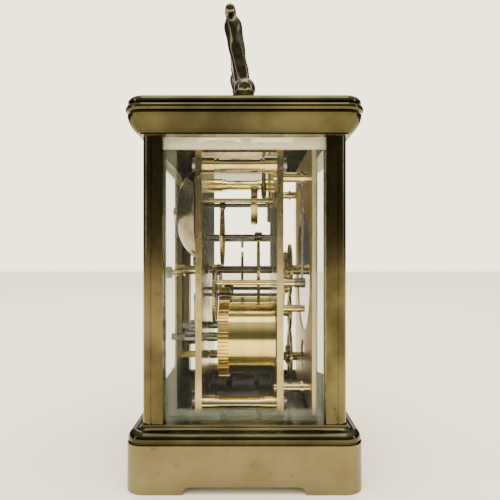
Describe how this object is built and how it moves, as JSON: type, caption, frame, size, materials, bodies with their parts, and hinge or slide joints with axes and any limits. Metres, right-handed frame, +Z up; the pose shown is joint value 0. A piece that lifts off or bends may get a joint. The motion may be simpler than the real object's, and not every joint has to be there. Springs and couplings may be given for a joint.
{
  "type": "carriage alarm clock",
  "caption": "Brass carriage alarm clock with bevelled glass sides, a folding carrying handle, a rear door with a knob, and a full movement with alarm train and bell inside",
  "frame": {"origin": "middle of the base's underside, on the surface that the clock stands on", "axes": "+Z up, -Y towards the dial and the viewer, +Y towards the rear door, X across the width"},
  "size_m": [0.0848, 0.0738, 0.1557],
  "materials": {
    "case_brass": "aged polished brass with a bronze tone",
    "movement_brass": "satin brass",
    "barrel_brass": "turned bright brass",
    "gilt_mask": "matt gilt brass",
    "bell_metal": "polished bell metal",
    "steel": "polished steel",
    "screw_steel": "polished steel",
    "blued_steel": "blued steel",
    "glass": "clear bevelled glass",
    "enamel": "white enamel"
  },
  "bodies": {
    "case": {"back_plate": "movement_brass", "base": "case_brass", "base_screws": "screw_steel", "bell": "bell_metal", "bell_post": "movement_brass", "click_springs": "steel", "corner_posts": "case_brass", "cornice": "case_brass", "dial_mask": "gilt_mask", "dial_posts": "movement_brass", "dials": "enamel", "escape_platform": "movement_brass", "escapement_cocks": "movement_brass", "front_glass": "glass", "front_plate": "movement_brass", "front_studs": "steel", "hairspring": "blued_steel", "handle_pivot_pins": "steel", "handle_posts": "case_brass", "plate_pillars": "movement_brass", "plate_screws": "screw_steel", "side_glasses": "glass", "small_screws": "screw_steel", "top_glass": "glass"},
    "door": {"rear_door_frame": "case_brass", "rear_door_glass": "glass", "rear_door_knob": "case_brass", "rear_door_hinge_pins": "steel"},
    "handle": {"handle_arms": "case_brass", "handle_grip": "case_brass"},
    "going_barrel_body": {"going_barrel": "barrel_brass", "going_mainspring": "blued_steel"},
    "alarm_barrel_body": {"alarm_barrel": "barrel_brass", "alarm_mainspring": "blued_steel"},
    "going_winding": {"going_barrel_arbor": "steel"},
    "alarm_winding": {"alarm_barrel_arbor": "steel"},
    "going_click_body": {"going_click": "steel"},
    "alarm_click_body": {"alarm_click": "steel"},
    "second": {"second_wheel": "movement_brass"},
    "centre": {"centre_wheel": "movement_brass"},
    "third": {"third_wheel": "movement_brass"},
    "contrate": {"contrate_wheel": "movement_brass"},
    "alarm_second": {"alarm_second_wheel": "movement_brass"},
    "alarm_scape": {"alarm_scape_wheel": "movement_brass"},
    "setting": {"setting_arbor": "movement_brass", "minute_hand": "blued_steel"},
    "minute": {"minute_wheel": "movement_brass"},
    "hour": {"hour_wheel": "movement_brass", "hour_hand": "blued_steel"},
    "idler": {"alarm_idler": "movement_brass"},
    "alarm_wheel_body": {"alarm_wheel": "movement_brass"},
    "alarm_setting": {"alarm_setting_arbor": "movement_brass", "alarm_hand": "blued_steel"},
    "escape": {"escape_wheel": "movement_brass"},
    "lever_body": {"lever": "steel"},
    "balance_body": {"balance": "movement_brass"},
    "index": {"regulator_index": "screw_steel"},
    "hammer_body": {"hammer": "steel"},
    "detent": {"alarm_detent": "movement_brass"},
    "release": {"release_lever": "steel"}
  },
  "joints": [
    {"name": "door_swing", "type": "hinge", "parent": "case", "child": "door", "pos_m": [-0.029, 0.0295, 0.064], "axis": [0, 0, 1], "range_deg": [0, 95]},
    {"name": "handle_fold", "type": "hinge", "parent": "case", "child": "handle", "pos_m": [0, 0, 0.1257], "axis": [1, 0, 0], "range_deg": [-80, 100]},
    {"name": "third_wheel_turn", "type": "hinge", "parent": "case", "child": "third", "pos_m": [-0.00247, 0, 0.07922], "axis": [0, -1, 0], "continuous": true},
    {"name": "contrate_wheel_turn", "type": "hinge", "parent": "case", "child": "contrate", "pos_m": [0, 0, 0.09121], "axis": [0, -1, 0], "continuous": true},
    {"name": "centre_wheel_turn", "type": "hinge", "parent": "case", "child": "centre", "pos_m": [0, 0, 0.0665], "axis": [0, -1, 0], "continuous": true},
    {"name": "second_wheel_turn", "type": "hinge", "parent": "case", "child": "second", "pos_m": [-0.00903, 0, 0.05771], "axis": [0, -1, 0], "continuous": true},
    {"name": "going_barrel_turn", "type": "hinge", "parent": "case", "child": "going_barrel_body", "pos_m": [-0.015, 0, 0.0433], "axis": [0, -1, 0], "continuous": true},
    {"name": "minute_hand_turn", "type": "hinge", "parent": "case", "child": "setting", "pos_m": [0, 0, 0.0665], "axis": [0, -1, 0], "continuous": true},
    {"name": "minute_wheel_turn", "type": "hinge", "parent": "case", "child": "minute", "pos_m": [-0.00506, 0, 0.05979], "axis": [0, -1, 0], "continuous": true},
    {"name": "hour_hand_turn", "type": "hinge", "parent": "case", "child": "hour", "pos_m": [0, 0, 0.0665], "axis": [0, -1, 0], "continuous": true},
    {"name": "alarm_idler_turn", "type": "hinge", "parent": "case", "child": "idler", "pos_m": [0.00057, 0, 0.05035], "axis": [0, -1, 0], "continuous": true},
    {"name": "alarm_wheel_turn", "type": "hinge", "parent": "case", "child": "alarm_wheel_body", "pos_m": [0, 0, 0.0342], "axis": [0, -1, 0], "continuous": true},
    {"name": "alarm_hand_set", "type": "hinge", "parent": "case", "child": "alarm_setting", "pos_m": [0, 0, 0.0342], "axis": [0, -1, 0], "continuous": true},
    {"name": "alarm_second_turn", "type": "hinge", "parent": "case", "child": "alarm_second", "pos_m": [0.02008, 0, 0.05805], "axis": [0, -1, 0], "continuous": true},
    {"name": "alarm_barrel_turn", "type": "hinge", "parent": "case", "child": "alarm_barrel_body", "pos_m": [0.015, 0, 0.0433], "axis": [0, -1, 0], "continuous": true},
    {"name": "alarm_scape_turn", "type": "hinge", "parent": "case", "child": "alarm_scape", "pos_m": [0.01714, 0, 0.0671], "axis": [0, -1, 0], "continuous": true},
    {"name": "going_winding_turn", "type": "hinge", "parent": "case", "child": "going_winding", "pos_m": [-0.015, 0, 0.0433], "axis": [0, -1, 0], "continuous": true},
    {"name": "alarm_winding_turn", "type": "hinge", "parent": "case", "child": "alarm_winding", "pos_m": [0.015, 0, 0.0433], "axis": [0, -1, 0], "continuous": true},
    {"name": "going_click_lift", "type": "hinge", "parent": "case", "child": "going_click_body", "pos_m": [-0.0212, 0.017, 0.0485], "axis": [0, 1, 0], "range_deg": [-12, 12]},
    {"name": "alarm_click_lift", "type": "hinge", "parent": "case", "child": "alarm_click_body", "pos_m": [0.0212, 0.017, 0.0485], "axis": [0, 1, 0], "range_deg": [-12, 12]},
    {"name": "hammer_strike", "type": "hinge", "parent": "case", "child": "hammer_body", "pos_m": [0.017, 0, 0.0785], "axis": [0, 1, 0], "range_deg": [-20, 1.5]},
    {"name": "detent_turn", "type": "hinge", "parent": "case", "child": "detent", "pos_m": [-0.019, 0, 0.091], "axis": [0, 1, 0], "range_deg": [-8, 8]},
    {"name": "release_lever_lift", "type": "hinge", "parent": "case", "child": "release", "pos_m": [-0.0132, 0, 0.0623], "axis": [0, 1, 0], "range_deg": [-4, 4]},
    {"name": "escape_wheel_turn", "type": "hinge", "parent": "case", "child": "escape", "pos_m": [0, -0.007, 0.1], "axis": [0, 0, 1], "continuous": true},
    {"name": "lever_rock", "type": "hinge", "parent": "case", "child": "lever_body", "pos_m": [0, -0.0019, 0.111], "axis": [0, 0, 1], "range_deg": [-5, 5]},
    {"name": "balance_swing", "type": "hinge", "parent": "case", "child": "balance_body", "pos_m": [0, 0.0056, 0.113], "axis": [0, 0, 1], "range_deg": [-135, 135], "stiffness_Nm_per_rad": 0.000003},
    {"name": "index_adjust", "type": "hinge", "parent": "case", "child": "index", "pos_m": [0, 0.0056, 0.1148], "axis": [0, 0, 1], "range_deg": [-15, 15]}
  ],
  "couplings": [
    {"joint": "contrate_wheel_turn", "follows": "third_wheel_turn", "ratio": -7.5},
    {"joint": "centre_wheel_turn", "follows": "third_wheel_turn", "ratio": -0.125},
    {"joint": "second_wheel_turn", "follows": "third_wheel_turn", "ratio": 0.020833},
    {"joint": "going_barrel_turn", "follows": "third_wheel_turn", "ratio": -0.0037879},
    {"joint": "minute_wheel_turn", "follows": "minute_hand_turn", "ratio": -0.33333},
    {"joint": "hour_hand_turn", "follows": "minute_hand_turn", "ratio": 0.083333},
    {"joint": "alarm_idler_turn", "follows": "minute_hand_turn", "ratio": -0.12195},
    {"joint": "alarm_wheel_turn", "follows": "minute_hand_turn", "ratio": 0.083333},
    {"joint": "alarm_barrel_turn", "follows": "alarm_second_turn", "ratio": -0.18182},
    {"joint": "alarm_scape_turn", "follows": "alarm_second_turn", "ratio": -7.5}
  ]
}
